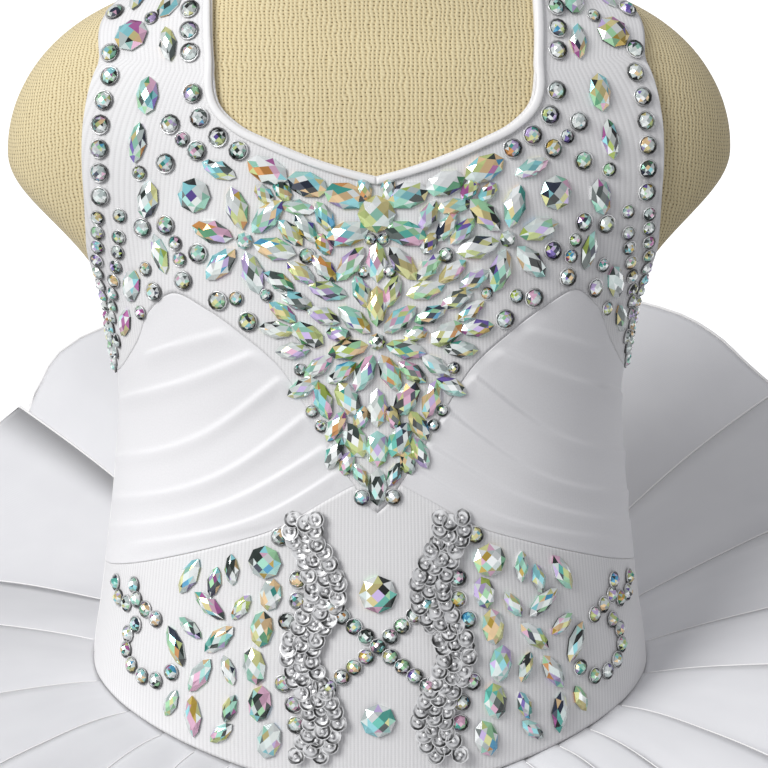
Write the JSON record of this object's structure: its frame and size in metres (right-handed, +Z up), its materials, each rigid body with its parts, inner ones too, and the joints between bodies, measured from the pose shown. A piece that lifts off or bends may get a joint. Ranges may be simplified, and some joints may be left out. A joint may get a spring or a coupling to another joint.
{
  "type": "pageant dress on a limbless dress form",
  "caption": "Toddler's halter pageant dress with a stone-set V-neck bodice and a stand-out ruffled skirt, on a jersey-covered limbless form with a pole and round base.",
  "frame": {"origin": "centre of the stand base's underside, on the floor under the pole", "axes": "+Z up along the pole; the front of the dress faces -Y; +X to the right of a viewer who faces the front"},
  "size_m": [0.5647, 0.4412, 0.6333],
  "materials": {
    "corded_faille": "white corded faille set with clear iridescent stones",
    "satin": "soft satin",
    "chiffon": "matt pleated chiffon",
    "organza": "crisp sheer organza with rolled hems",
    "linen_jersey": "fine rib knit",
    "beech_wood": "clear satin lacquer",
    "steel": "brushed"
  },
  "bodies": {
    "root": {"back_left": "satin", "back_right": "satin", "back_placket": "satin", "back_button_1": "satin", "back_button_2": "satin", "back_button_3": "satin", "back_button_4": "satin", "back_button_5": "satin", "back_button_6": "satin", "basque_front": "corded_faille", "form_torso": "linen_jersey", "midriff_left": "chiffon", "midriff_right": "chiffon", "neck_binding_left": "satin", "neck_binding_right": "satin", "neck_button": "satin", "neck_cap": "beech_wood", "neck_tab": "satin", "ruffle_lower": "organza", "ruffle_middle": "organza", "ruffle_top": "organza", "stand_base": "beech_wood", "stand_collar": "beech_wood", "stand_pole": "steel", "strap_left": "corded_faille", "strap_right": "corded_faille", "underskirt": "satin", "yoke_front": "corded_faille"}
  },
  "joints": []
}
